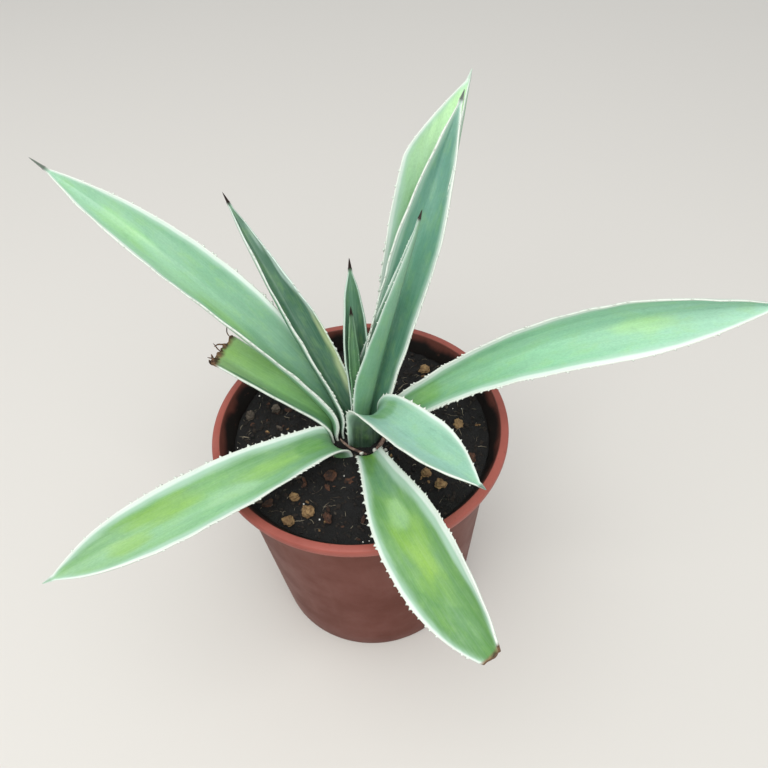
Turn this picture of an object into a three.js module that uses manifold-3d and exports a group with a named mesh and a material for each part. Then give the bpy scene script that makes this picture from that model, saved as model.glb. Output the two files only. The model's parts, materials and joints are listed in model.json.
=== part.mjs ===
// A young variegated agave in a round plastic nursery pot.
// Millimetres, +Z up. The origin is the middle of the pot's flat underside, which stands on Z = 0.
// The rosette is built from the pot outwards: pot, compost, stem, leaves, then the loose bits on the compost.
import * as THREE from "three";
import { mergeVertices } from "three/addons/utils/BufferGeometryUtils.js";
import Module from "manifold-3d";

const wasm = await Module();
wasm.setup();

// Driving dimensions
const GAP = 0.3; // clearance between pieces that touch
const POT_HEIGHT = 170;
const RIM_RADIUS = 95; // outside of the rim
const RIM_WIDTH = 5.4; // flat top ring, seen from above
const RIM_DEPTH = 6.5; // upright face of the rim
const BODY_TOP_RADIUS = 86; // outside of the wall, just under the rim
const BASE_RADIUS = 71; // outside of the wall, at the foot
const WALL = 1.8;
const FLOOR = 2.6;
const DRAIN_HOLES = 4;
const DRAIN_RADIUS = 6;
const DRAIN_CIRCLE = 48; // radius of the circle that the drain holes stand on
const COMPOST_LEVEL = 158; // top of the compost, 12 below the rim
const COMPOST_FALL = 1.5; // the compost is this much lower at the pot's wall
const STEM_RADIUS = 7;
const STEM_FOOT = 128; // the short stem is buried down to here
const POT_SEGMENTS = 60;

const group = new THREE.Group();
const rad = THREE.MathUtils.degToRad;

const finish = {
  pot: { color: 0x9c5a4e, roughness: 0.6 },
  compost: { color: 0x1f1a17, roughness: 1 },
  stem: { color: 0x5b4a3c, roughness: 0.9 },
  leaf: { color: 0x6fae7b, roughness: 0.55 },
  bark_tan: { color: 0xa58a64, roughness: 0.95 },
  bark_brown: { color: 0x5c3f2e, roughness: 0.95 },
  bark_grey: { color: 0x77706a, roughness: 0.95 },
  perlite: { color: 0xdedcd2, roughness: 0.95 },
};
const material = Object.fromEntries(
  Object.entries(finish).map(([name, look]) => [
    name,
    new THREE.MeshStandardMaterial({ ...look, metalness: 0 }),
  ]),
);

// A closed geometry as a solid for joining and cutting.
function toSolid(geometry) {
  const bare = geometry.clone();
  bare.deleteAttribute("normal");
  bare.deleteAttribute("uv");
  const merged = mergeVertices(bare, 1e-4);
  return new wasm.Manifold(
    new wasm.Mesh({
      numProp: 3,
      vertProperties: new Float32Array(merged.attributes.position.array),
      triVerts: new Uint32Array(merged.index.array),
    }),
  );
}

function toGeometry(solid) {
  const mesh = solid.getMesh();
  const geometry = new THREE.BufferGeometry();
  geometry.setAttribute("position", new THREE.BufferAttribute(mesh.vertProperties, 3));
  geometry.setIndex(new THREE.BufferAttribute(mesh.triVerts, 1));
  geometry.computeVertexNormals();
  return geometry;
}

function addPiece(name, geometry, look) {
  const mesh = new THREE.Mesh(geometry, material[look]);
  mesh.name = name;
  group.add(mesh);
}

// A profile of [radius, height] corners turned round the Z axis.
function turned(corners, segments = POT_SEGMENTS) {
  const points = corners.map(([radius, height]) => new THREE.Vector2(radius, height));
  return new THREE.LatheGeometry([...points, points[0]], segments).rotateX(Math.PI / 2);
}

function rod(radius, bottom, top, x = 0, y = 0, segments = 24) {
  return new THREE.CylinderGeometry(radius, radius, top - bottom, segments)
    .rotateX(Math.PI / 2)
    .translate(x, y, (bottom + top) / 2);
}

// The pot: a tapered shell with a stepped, flat-topped rim and drain holes through its floor.
const RIM_FOOT = POT_HEIGHT - RIM_DEPTH;
const BODY_TOP = RIM_FOOT - 1.5;
const bodyRadius = (z) => BASE_RADIUS + ((BODY_TOP_RADIUS - BASE_RADIUS) * z) / BODY_TOP;
const innerRadius = (z) => bodyRadius(z) - WALL;
const RIM_INNER = RIM_RADIUS - RIM_WIDTH;

function makePot() {
  const shell = toSolid(
    turned([
      [0, 0],
      [BASE_RADIUS, 0],
      [BODY_TOP_RADIUS, BODY_TOP],
      [RIM_RADIUS, RIM_FOOT],
      [RIM_RADIUS, POT_HEIGHT],
      [RIM_INNER, POT_HEIGHT],
      [RIM_INNER, RIM_FOOT],
      [innerRadius(BODY_TOP - 4), BODY_TOP - 4],
      [innerRadius(FLOOR), FLOOR],
      [0, FLOOR],
    ]),
  );
  let pot = shell;
  for (let i = 0; i < DRAIN_HOLES; i++) {
    const turn = (2 * Math.PI * (i + 0.5)) / DRAIN_HOLES;
    const x = DRAIN_CIRCLE * Math.cos(turn);
    const y = DRAIN_CIRCLE * Math.sin(turn);
    pot = pot.subtract(toSolid(rod(DRAIN_RADIUS, -1, FLOOR + 1, x, y)));
  }
  return toGeometry(pot);
}
addPiece("pot", makePot(), "pot");

// The stem: a short stump that the leaves grow round, rooted in the compost.
function makeStem(margin = 0) {
  const radius = STEM_RADIUS + margin;
  return turned(
    [
      [0, STEM_FOOT - margin],
      [radius * 0.7, STEM_FOOT - margin],
      [radius, STEM_FOOT + 8],
      [radius, COMPOST_LEVEL - 2],
      [radius * 0.8, COMPOST_LEVEL + 1.5],
      [0, COMPOST_LEVEL + 2.5],
    ],
    24,
  );
}
const stem = toSolid(makeStem());

// The compost: fills the pot to just under the rim, a little lower at the wall.
function makeCompost() {
  const edge = COMPOST_LEVEL - COMPOST_FALL;
  const fill = turned([
    [0, FLOOR + GAP],
    [innerRadius(FLOOR) - GAP, FLOOR + GAP],
    [innerRadius(edge) - GAP, edge],
    [60, COMPOST_LEVEL - 0.6],
    [0, COMPOST_LEVEL],
  ]);
  return toGeometry(toSolid(fill).subtract(toSolid(makeStem(GAP))));
}
addPiece("compost", makeCompost(), "compost");

// The leaves. Each grows on its own heading from the stem, rises steeply round it for a short neck,
// then opens out, arches and twists. Its blade is a shallow trough: two halves that rise from a keel.
//   heading, sway    degrees round Z from +X, and how much the heading turns by the tip
//   lift, droop      degrees above level past the neck, and how much that falls by the tip
//   length, width    along the blade, and at its widest
//   foot             share of the width at the base
//   widest, taper    where along the blade it is widest, and how blunt the tip's outline is
//   keel, cup        degrees that a half rises at the keel, and further by its margin
//   twist            degrees turned about its own line at the base, and further by the tip
//   core, level      radius that the base wraps round, and the height where it starts
//   neck, snap       how far up the base stays upright, and how sharply it then bends over
//   whole            share of the natural outline that is there: under 1 on a leaf that lost its tip
//   spine            length of the dark end spine
const LEAVES = [
  { name: "leaf_center_bud", heading: 84, sway: 0, lift: 78, droop: 4, length: 83, width: 10,
    foot: 0.6, widest: 0.5, taper: 1.9, keel: 26, cup: 60, twist: [0, 0],
    core: 3, level: 163, neck: 6, snap: 3, whole: 1, spine: 5, thick: 2.2 },
  { name: "leaf_center_spear", heading: 83, sway: 1, lift: 74, droop: 5, length: 106, width: 20.5,
    foot: 0.6, widest: 0.54, taper: 2, keel: 19, cup: 58, twist: [8, 3],
    core: 7, level: 164, neck: 9, snap: 3, whole: 1, spine: 6, thick: 2.6 },
  { name: "leaf_folded_young", heading: 30, sway: 1.5, lift: 72, droop: 4.5, length: 147, width: 27.5,
    foot: 0.7, widest: 0.29, taper: 1.1, keel: 35, cup: 56, twist: [-40.5, 12.5],
    core: 4, level: 164, neck: 9, snap: 3, whole: 1, spine: 5, thick: 2.4 },
  { name: "leaf_tall_inner", heading: 42, sway: 0, lift: 66, droop: 6, length: 208, width: 37.5,
    foot: 0.77, widest: 0.6, taper: 1.5, keel: 22, cup: 49.5, twist: [32, 8.5],
    core: 8, level: 162, neck: 9, snap: 3, whole: 1, spine: 5, thick: 3.2 },
  { name: "leaf_upper_left", heading: 127, sway: -6, lift: 50, droop: 8, length: 162, width: 34,
    foot: 0.72, widest: 0.42, taper: 1.35, keel: 30, cup: 57, twist: [4, -10],
    core: 11, level: 160, neck: 9, snap: 3, whole: 1, spine: 7, thick: 3.6 },
  { name: "leaf_tall_outer", heading: 46, sway: 2, lift: 58.5, droop: -1, length: 219, width: 49.5,
    foot: 0.42, widest: 0.77, taper: 1.3, keel: 26, cup: 35, twist: [29, -47.5],
    core: 12, level: 159.5, neck: 9, snap: 3, whole: 1, spine: 5, thick: 4 },
  { name: "leaf_short_right", heading: -67, sway: 9, lift: 18, droop: 4, length: 147, width: 34,
    foot: 0.8, widest: 0.65, taper: 1.8, keel: 11, cup: 28, twist: [-4, 0],
    core: 11, level: 158.6, neck: 42, snap: 5, whole: 1, spine: 4, thick: 4 },
  { name: "leaf_far_left", heading: 145, sway: 2, lift: 43, droop: 16, length: 247, width: 46,
    foot: 0.55, widest: 0.42, taper: 2.2, keel: 24, cup: 34, twist: [22, -50],
    core: 15, level: 158.6, neck: 9, snap: 3, whole: 1, spine: 12, thick: 4.4 },
  { name: "leaf_long_right", heading: -1, sway: -20, lift: 42.5, droop: 30.5, length: 248, width: 42.5,
    foot: 0.48, widest: 0.68, taper: 1.9, keel: 20, cup: 37, twist: [31, 58],
    core: 18, level: 158.6, neck: 9, snap: 3, whole: 1, spine: 8, thick: 4.4 },
  { name: "leaf_cut_left", heading: 162, sway: -4, lift: 32, droop: 0, length: 92, width: 38,
    foot: 0.55, widest: 0.66, taper: 3, keel: 12, cup: 25, twist: [4, 11],
    core: 18, level: 158.6, neck: 9, snap: 3, whole: 0.6, spine: 0, thick: 4.6 },
  { name: "leaf_lower_left", heading: 215, sway: -6, lift: 15, droop: 12, length: 188, width: 37.5,
    foot: 0.68, widest: 0.48, taper: 3.2, keel: 13, cup: 28, twist: [-4, -26],
    core: 20, level: 158.6, neck: 9, snap: 3, whole: 1, spine: 4, thick: 4.6 },
  { name: "leaf_front", heading: -81, sway: 14, lift: 19, droop: 13.5, length: 173.5, width: 42,
    foot: 0.37, widest: 0.58, taper: 2.7, keel: 12, cup: 24, twist: [8, 38],
    core: 22.5, level: 158.6, neck: 9, snap: 3, whole: 0.95, spine: 0, thick: 4.6 },
];

const BLADE_RINGS = 17;
const ACROSS = [-1, -0.5, 0, 0.5, 1]; // places across a blade, from one margin to the other
const MARGIN_THICK = 1.1;
const TIP_WIDTH = 2.4;

// The blade's half width at share t of its length.
function halfWidth(leaf, t) {
  const s = t * leaf.whole;
  const fall = Math.min(1, Math.max(0, (s - leaf.widest) / (1 - leaf.widest)));
  const share =
    s < leaf.widest
      ? leaf.foot + (1 - leaf.foot) * Math.sin((Math.PI / 2) * (s / leaf.widest)) ** 2
      : 1 - fall ** leaf.taper;
  return Math.max((leaf.width / 2) * share, TIP_WIDTH / 2);
}

// The leaf's line and its three directions, at each share of its length in "shares".
function leafLine(leaf, shares) {
  const upright = (t) => 1 / (1 + ((t * leaf.length) / leaf.neck) ** leaf.snap);
  const aim = (t) => {
    const rise = rad(leaf.lift - leaf.droop * t + (84 - leaf.lift) * upright(t));
    const turn = rad(leaf.heading + leaf.sway * t);
    return new THREE.Vector3(
      Math.cos(rise) * Math.cos(turn),
      Math.cos(rise) * Math.sin(turn),
      Math.sin(rise),
    );
  };
  const heading = rad(leaf.heading);
  const place = new THREE.Vector3(
    leaf.core * Math.cos(heading),
    leaf.core * Math.sin(heading),
    leaf.level,
  );
  const SMALL = 1 / 400;
  let walked = 0;
  return shares.map((t) => {
    for (; walked < t - 1e-9; walked += SMALL) {
      place.addScaledVector(aim(walked + SMALL / 2), SMALL * leaf.length);
    }
    const along = aim(t);
    const turn = rad(leaf.heading + leaf.sway * t);
    const side = new THREE.Vector3(-Math.sin(turn), Math.cos(turn), 0);
    const face = new THREE.Vector3().crossVectors(along, side);
    const open = 1 - upright(t);
    const twist = rad((leaf.twist[0] + leaf.twist[1] * t) * open);
    return {
      t,
      open,
      along,
      place: place.clone(),
      side: side.clone().multiplyScalar(Math.cos(twist)).addScaledVector(face, Math.sin(twist)),
      face: face.clone().multiplyScalar(Math.cos(twist)).addScaledVector(side, -Math.sin(twist)),
    };
  });
}

// One closed ring of points round the blade: along the upper face, then back along the under face.
function bladeRing(leaf, station, grow) {
  const { t, open, place, side, face } = station;
  const half = halfWidth(leaf, t) + grow;
  const keel = rad(leaf.keel) * open;
  const wrap = half / Math.max(leaf.core, 6);
  const cup = Math.max(rad(leaf.cup) * open + wrap * (1 - open), 0.01);
  const thick = leaf.thick * (1 - 0.55 * t);
  const upper = [];
  const under = [];
  for (const u of ACROSS) {
    const v = Math.abs(u);
    const angle = keel + cup * v;
    const out = ((half * (Math.sin(angle) - Math.sin(keel))) / cup) * Math.sign(u);
    const up = (half * (Math.cos(keel) - Math.cos(angle))) / cup;
    const body = MARGIN_THICK + (thick - MARGIN_THICK) * (1 - v ** 1.5);
    const lean = angle * Math.sign(u);
    const point = (depth) =>
      place
        .clone()
        .addScaledVector(side, out + Math.sin(lean) * depth)
        .addScaledVector(face, up - Math.cos(lean) * depth);
    upper.push(point(-grow));
    under.push(point(body + grow));
  }
  return [...upper, ...under.reverse()];
}

// A closed skin over rings of equal count, with flat ends.
function loft(rings) {
  const count = rings[0].length;
  const vertices = rings.flat();
  const faces = [];
  for (let i = 0; i + 1 < rings.length; i++) {
    for (let j = 0; j < count; j++) {
      const a = i * count + j;
      const b = i * count + ((j + 1) % count);
      faces.push(a, b + count, b, a, a + count, b + count);
    }
  }
  const half = count / 2;
  const last = (rings.length - 1) * count;
  for (let j = 0; j + 1 < half; j++) {
    const far = count - 1 - j;
    faces.push(j, far - 1, far, j, j + 1, far - 1);
    faces.push(last + j, last + far, last + far - 1, last + j, last + far - 1, last + j + 1);
  }
  const geometry = new THREE.BufferGeometry();
  const flat = vertices.flatMap((p) => [p.x, p.y, p.z]);
  geometry.setAttribute("position", new THREE.Float32BufferAttribute(flat, 3));
  geometry.setIndex(faces);
  return geometry;
}

function makeLeaf(leaf, grow = 0) {
  const shares = [];
  for (let i = 0; i <= BLADE_RINGS; i++) shares.push((i / BLADE_RINGS) ** 1.4);
  const stations = leafLine(leaf, shares);
  const rings = stations.map((station) => bladeRing(leaf, station, grow));
  if (leaf.spine > 0) {
    // The end spine carries the last ring on to a point.
    const end = stations[BLADE_RINGS];
    const tip = rings[BLADE_RINGS];
    const middle = new THREE.Vector3();
    tip.forEach((p) => middle.addScaledVector(p, 1 / tip.length));
    for (const [ahead, scale] of [[0.5, 0.6], [1, 0.2]]) {
      rings.push(
        tip.map((p) =>
          p.clone().sub(middle).multiplyScalar(scale).add(middle)
            .addScaledVector(end.along, ahead * (leaf.spine + grow)),
        ),
      );
    }
  }
  return toSolid(loft(rings));
}

// Where two leaf bases would meet, the outer one gives way to the inner one.
function largestBody(solid) {
  const bodies = solid.decompose();
  return bodies.reduce((best, body) => (body.volume() > best.volume() ? body : best));
}

let inner = toSolid(makeStem(GAP));
for (const leaf of LEAVES) {
  const solid = largestBody(makeLeaf(leaf).subtract(inner));
  addPiece(leaf.name, toGeometry(solid), "leaf");
  inner = inner.add(makeLeaf(leaf, GAP));
}
addPiece("stem", toGeometry(stem), "stem");

// The loose bits lying on the compost: bark chips and a few grains of perlite.
// Each is an irregular block: place, then length, width and height, then the way it is turned.
const CHIPS = [
  { at: [-37, -56], size: [9, 8, 7], turn: 20, look: "bark_tan" },
  { at: [-49, -60], size: [10, 7, 5], turn: 55, look: "bark_tan" },
  { at: [-45, -44], size: [8, 6, 5], turn: -30, look: "bark_tan" },
  { at: [-61, -46], size: [8, 6, 4], turn: 10, look: "bark_brown" },
  { at: [-25, -62], size: [9, 6, 4], turn: 75, look: "bark_brown" },
  { at: [-22, -31], size: [11, 8, 5], turn: 35, look: "bark_brown" },
  { at: [-9, -37], size: [12, 5, 4], turn: -15, look: "bark_brown" },
  { at: [37, -38], size: [8, 7, 5], turn: 40, look: "bark_tan" },
  { at: [45, -47], size: [9, 7, 6], turn: -20, look: "bark_tan" },
  { at: [64, -3], size: [9, 7, 5], turn: 65, look: "bark_tan" },
  { at: [49, 52], size: [9, 7, 5], turn: 15, look: "bark_tan" },
  { at: [67, -30], size: [9, 6, 4], turn: -50, look: "bark_brown" },
  { at: [-73, 27], size: [9, 7, 4], turn: 80, look: "bark_grey" },
  { at: [-55, 30], size: [8, 7, 4], turn: 5, look: "bark_grey" },
  { at: [60, 33], size: [8, 6, 4], turn: 30, look: "bark_brown" },
];
const GRAINS = [
  { at: [-2, -27], size: [3.2, 2.8, 2.6], turn: 0 },
  { at: [8, -30], size: [3.6, 3, 2.8], turn: 40 },
  { at: [15, -27], size: [2.8, 2.6, 2.4], turn: 80 },
  { at: [26, -55], size: [3.4, 3, 2.6], turn: 20 },
  { at: [-44, -14], size: [3, 2.8, 2.6], turn: 60 },
];

// The compost's level at a given distance from the middle.
function compostAt(radius) {
  const shoulder = 60;
  const dip = 0.6;
  if (radius < shoulder) return COMPOST_LEVEL - (dip * radius) / shoulder;
  const wall = innerRadius(COMPOST_LEVEL - COMPOST_FALL);
  const beyond = (radius - shoulder) / (wall - shoulder);
  return COMPOST_LEVEL - dip - (COMPOST_FALL - dip) * beyond;
}

// A block whose faces and corners are pushed in or out a little, in a way that its place decides.
function makeBlock({ at: [x, y], size: [length, width, height], turn }) {
  const block = mergeVertices(
    new THREE.IcosahedronGeometry(0.5, 1).deleteAttribute("normal").deleteAttribute("uv"),
    1e-4,
  );
  const place = block.attributes.position;
  for (let i = 0; i < place.count; i++) {
    const p = new THREE.Vector3().fromBufferAttribute(place, i);
    const squared = Math.max(Math.abs(p.x), Math.abs(p.y), Math.abs(p.z));
    const uneven = 0.09 * Math.sin(17 * p.x + 0.7 * x) * Math.cos(13 * p.y + 0.9 * y + 5 * p.z);
    p.multiplyScalar((0.36 / squared) * 0.6 + 0.5 + uneven);
    place.setXYZ(i, p.x * length, p.y * width, p.z * height);
  }
  block.rotateZ(rad(turn));
  block.computeBoundingBox();
  const reach = Math.hypot(x, y) - length / 2;
  block.translate(x, y, compostAt(Math.max(reach, 0)) + GAP - block.boundingBox.min.z);
  return block;
}

const twoDigits = (i) => String(i + 1).padStart(2, "0");
CHIPS.forEach((chip, i) => addPiece(`bark_chip_${twoDigits(i)}`, makeBlock(chip), chip.look));
GRAINS.forEach((grain, i) => addPiece(`perlite_${twoDigits(i)}`, makeBlock(grain), "perlite"));

export default group;
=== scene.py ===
# A young variegated agave in a round nursery pot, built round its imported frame.
import json
import math
import random

import bpy
import numpy as np
from mathutils import Matrix, Vector, noise


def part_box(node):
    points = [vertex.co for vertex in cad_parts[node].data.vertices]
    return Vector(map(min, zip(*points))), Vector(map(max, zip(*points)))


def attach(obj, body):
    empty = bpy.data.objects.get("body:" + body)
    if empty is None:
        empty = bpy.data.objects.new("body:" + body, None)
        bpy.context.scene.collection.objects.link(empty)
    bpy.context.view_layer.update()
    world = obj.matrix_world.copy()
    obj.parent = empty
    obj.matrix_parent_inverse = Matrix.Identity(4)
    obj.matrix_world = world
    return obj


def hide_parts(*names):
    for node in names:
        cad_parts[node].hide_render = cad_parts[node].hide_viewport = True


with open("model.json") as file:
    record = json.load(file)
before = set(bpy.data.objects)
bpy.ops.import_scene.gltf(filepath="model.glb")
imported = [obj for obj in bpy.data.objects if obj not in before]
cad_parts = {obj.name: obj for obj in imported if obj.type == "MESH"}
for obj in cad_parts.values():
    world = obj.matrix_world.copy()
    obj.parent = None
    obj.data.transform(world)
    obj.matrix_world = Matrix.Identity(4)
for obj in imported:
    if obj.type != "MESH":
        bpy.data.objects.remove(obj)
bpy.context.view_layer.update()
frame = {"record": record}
MM = 0.001


# ---------------------------------------------------------------- viewpoint
# The plant stands on the floor and is seen from in front and above, the way a person looks down at it
# with the head tilted a little.
LOOK_FROM = Vector((0.0, -0.3207, 0.5464))
LOOK_ALONG = Vector((0.0372, 0.6826, -0.7298))
HEAD_TILT = math.radians(4.16)

lens = bpy.data.cameras.new("viewpoint")
lens.lens = 36
lens.sensor_width = 36
camera = bpy.data.objects.new("viewpoint", lens)
bpy.context.scene.collection.objects.link(camera)
ahead = LOOK_ALONG.normalized()
level = ahead.cross(Vector((0, 0, 1))).normalized()
across = (Matrix.Rotation(HEAD_TILT, 3, ahead) @ level).normalized()
upward = across.cross(ahead)
camera.matrix_world = Matrix(
    (
        (across.x, upward.x, -ahead.x, LOOK_FROM.x),
        (across.y, upward.y, -ahead.y, LOOK_FROM.y),
        (across.z, upward.z, -ahead.z, LOOK_FROM.z),
        (0, 0, 0, 1),
    )
)
bpy.context.scene.camera = camera


# ---------------------------------------------------------------- pot
# A tapered, injection-moulded nursery pot in terracotta-coloured polypropylene. It has a stepped rim that
# nests over the next pot, a flat top ring, a thin wall and four drain holes through its floor.
POT_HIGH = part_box("pot")[1]
RIM_RADIUS = POT_HIGH.x
POT_HEIGHT = POT_HIGH.z
RIM_WIDTH = 5.4 * MM
RIM_DEPTH = 6.5 * MM
BODY_TOP_RADIUS = 86 * MM
BASE_RADIUS = 71 * MM
WALL = 1.8 * MM
FLOOR = 2.6 * MM
DRAIN_RADIUS = 6 * MM
DRAIN_CIRCLE = 48 * MM
DRAIN_HOLES = 4
BODY_TOP = POT_HEIGHT - RIM_DEPTH - 1.5 * MM
WALL_SPLAYS_FROM = BODY_TOP - 1.5 * MM
# Inside the pot, the wall is painted near-black up to the first height and dull red-brown from the second:
# soil on the wall, and painted shade under the rim.
SOIL_AND_SHADE_TO = 163.5 * MM
CLEAN_AND_LIT_FROM = 168.5 * MM


def wall_radius(z):
    """Inside of the pot's wall at a height."""
    return BASE_RADIUS + (BODY_TOP_RADIUS - BASE_RADIUS) * z / BODY_TOP - WALL


def paint(code):
    """A paint-chart code (red, green, blue in hexadecimal) as the light it reflects."""
    parts = [int(code[i : i + 2], 16) / 255 for i in (0, 2, 4)]
    return [c / 12.92 if c <= 0.04045 else ((c + 0.055) / 1.055) ** 2.4 for c in parts]


def new_piece(name, points, faces, slot, finish, smooth=True):
    """A mesh piece fixed to the plant, with its finish; the material slot that it stands for is not used."""
    mesh = bpy.data.meshes.new(name)
    mesh.from_pydata([tuple(p) for p in points], [], [tuple(f) for f in faces])
    mesh.validate()
    mesh.polygons.foreach_set("use_smooth", [smooth] * len(mesh.polygons))
    mesh.update()
    piece = bpy.data.objects.new(name, mesh)
    bpy.context.scene.collection.objects.link(piece)
    mesh.materials.append(finish)
    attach(piece, "root")
    return piece


def turned(profile, segments, wobble=lambda angle, r, z: (r, z)):
    """Points and faces of a closed [radius, height] profile turned round the upright axis."""
    points, faces = [], []
    count = len(profile)
    for i in range(segments):
        angle = 2 * math.pi * i / segments
        for r, z in profile:
            r, z = wobble(angle, r, z)
            points.append((r * math.cos(angle), r * math.sin(angle), z))
    for i in range(segments):
        here, there = i * count, (i + 1) % segments * count
        for j in range(count):
            k = (j + 1) % count
            faces.append((here + j, there + j, there + k, here + k))
    return points, faces


class Finish:
    """A material under construction: one glossy-to-matt surface fed by patterns."""

    def __init__(self, name):
        self.material = bpy.data.materials.new(name)
        self.material.use_nodes = True
        self.nodes = self.material.node_tree.nodes
        self.links = self.material.node_tree.links
        self.surface = self.nodes["Principled BSDF"]

    def node(self, kind, inputs=None, **settings):
        made = self.nodes.new(kind)
        for key, value in settings.items():
            setattr(made, key, value)
        for key, value in (inputs or {}).items():
            self.feed(made.inputs[key], value)
        return made

    def feed(self, socket, value):
        if isinstance(value, bpy.types.NodeSocket):
            self.links.new(value, socket)
        elif socket.type == "RGBA" and len(value) == 3:
            socket.default_value = (*value, 1)
        else:
            socket.default_value = value

    def grain(self, scale, stretch=(1, 1, 1), detail=4, rough=0.5, where=None, warp=0):
        """Random grain, 0 to 1, at a scale per metre."""
        where = where or self.node("ShaderNodeTexCoord").outputs["Object"]
        fitted = self.node("ShaderNodeMapping", {"Vector": where, "Scale": stretch})
        values = {
            "Vector": fitted.outputs[0],
            "Scale": scale,
            "Detail": detail,
            "Roughness": rough,
            "Distortion": warp,
        }
        return self.node("ShaderNodeTexNoise", values).outputs["Fac"]

    def span(self, value, low, high, to_low=0.0, to_high=1.0):
        """Stretches low..high to to_low..to_high, with soft ends and no overshoot."""
        values = {"Value": value, "From Min": low, "From Max": high}
        values.update({"To Min": to_low, "To Max": to_high})
        return self.node("ShaderNodeMapRange", values, interpolation_type="SMOOTHSTEP").outputs[0]

    def maths(self, operation, first, second):
        made = self.node("ShaderNodeMath", operation=operation)
        self.feed(made.inputs[0], first)
        self.feed(made.inputs[1], second)
        return made.outputs[0]

    def blend(self, share, first, second, mode="MIX"):
        made = self.node("ShaderNodeMix", data_type="RGBA", blend_type=mode)
        self.feed(made.inputs["Factor"], share)
        self.feed(made.inputs["A"], first)
        self.feed(made.inputs["B"], second)
        return made.outputs["Result"]

    def stored(self, name):
        """A value that the mesh stores at each point."""
        return self.node("ShaderNodeAttribute", attribute_name=name)

    def finish(self, colour, rough, height=None, depth=0.1 * MM, strength=1.0, **sockets):
        self.feed(self.surface.inputs["Base Color"], colour)
        self.feed(self.surface.inputs["Roughness"], rough)
        if height is not None:
            values = {"Height": height, "Distance": depth, "Strength": strength}
            bump = self.node("ShaderNodeBump", values)
            self.feed(self.surface.inputs["Normal"], bump.outputs[0])
        for key, value in sockets.items():
            self.surface.inputs[key.replace("_", " ")].default_value = value
        return self.material


def pot_plastic():
    """Slightly chalky moulded plastic. Its top ring is painted paler than its body, as painted light from
    above with some sun bleaching; inside over the compost it is painted dark, as soil and painted shade.
    """
    f = Finish("pot_plastic")
    place = f.node("ShaderNodeTexCoord")
    height = f.node("ShaderNodeSeparateXYZ", {"Vector": place.outputs["Object"]}).outputs["Z"]
    bleach_and_light_on_rim = f.span(height, BODY_TOP - 1 * MM, BODY_TOP + 2 * MM)
    flat = f.node("ShaderNodeVectorMath", operation="MULTIPLY")
    f.feed(flat.inputs[0], place.outputs["Object"])
    f.feed(flat.inputs[1], (1, 1, 0))
    outward = f.node("ShaderNodeVectorMath", operation="DOT_PRODUCT")
    f.feed(outward.inputs[0], flat.outputs["Vector"])
    f.feed(outward.inputs[1], place.outputs["Normal"])
    inside = f.span(outward.outputs["Value"], -0.06, -0.03, 1, 0)
    cloudy = f.grain(22, detail=5, rough=0.6)
    runs = f.grain(60, stretch=(1, 1, 0.12), detail=4, rough=0.55)
    fine = f.grain(900, detail=3, rough=0.6)
    speck = f.grain(420, detail=2, rough=0.5)
    # Painted light: the top ring is coloured a paler pink than the darker body, as if lit from above, with
    # some sun bleaching.
    colour = f.blend(f.span(cloudy, 0.35, 0.7), paint("662b1c"), paint("5c2718"))
    rim = f.blend(f.span(cloudy, 0.35, 0.7), paint("a2564b"), paint("904a40"))
    colour = f.blend(bleach_and_light_on_rim, colour, rim)
    colour = f.blend(f.span(runs, 0.52, 0.8, 0, 0.15), colour, paint("a07468"))
    # Painted shade and soil: inward faces are painted near-black below a wavy line, and dull red-brown above
    # it.
    soil_and_shade_line = f.maths("ADD", height, f.span(runs, 0.3, 0.7, -1.5 * MM, 1.5 * MM))
    clean_and_lit = f.span(soil_and_shade_line, SOIL_AND_SHADE_TO, CLEAN_AND_LIT_FROM)
    soil_and_shade = f.blend(clean_and_lit, paint("15100e"), paint("6a3a31"))
    colour = f.blend(inside, colour, soil_and_shade)
    colour = f.blend(f.span(speck, 0.66, 0.74, 0, 0.45), colour, paint("5a3a30"))
    rough = f.span(cloudy, 0.3, 0.75, 0.42, 0.62)
    return f.finish(
        colour, rough, height=fine, depth=0.05 * MM, strength=0.35, Specular_IOR_Level=0.3
    )


def drain_drill():
    """The four round cutters that open the drain holes."""
    points, faces = [], []
    sides = 32
    for hole in range(DRAIN_HOLES):
        turn = 2 * math.pi * (hole + 0.5) / DRAIN_HOLES
        x, y = DRAIN_CIRCLE * math.cos(turn), DRAIN_CIRCLE * math.sin(turn)
        first = len(points)
        for z in (-2 * MM, FLOOR + 2 * MM):
            for i in range(sides):
                a = 2 * math.pi * i / sides
                points.append((x + DRAIN_RADIUS * math.cos(a), y + DRAIN_RADIUS * math.sin(a), z))
        for i in range(sides):
            j = (i + 1) % sides
            faces.append((first + i, first + j, first + sides + j, first + sides + i))
        faces.append([first + i for i in reversed(range(sides))])
        faces.append([first + sides + i for i in range(sides)])
    mesh = bpy.data.meshes.new("drill")
    mesh.from_pydata(points, [], faces)
    return mesh


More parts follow.
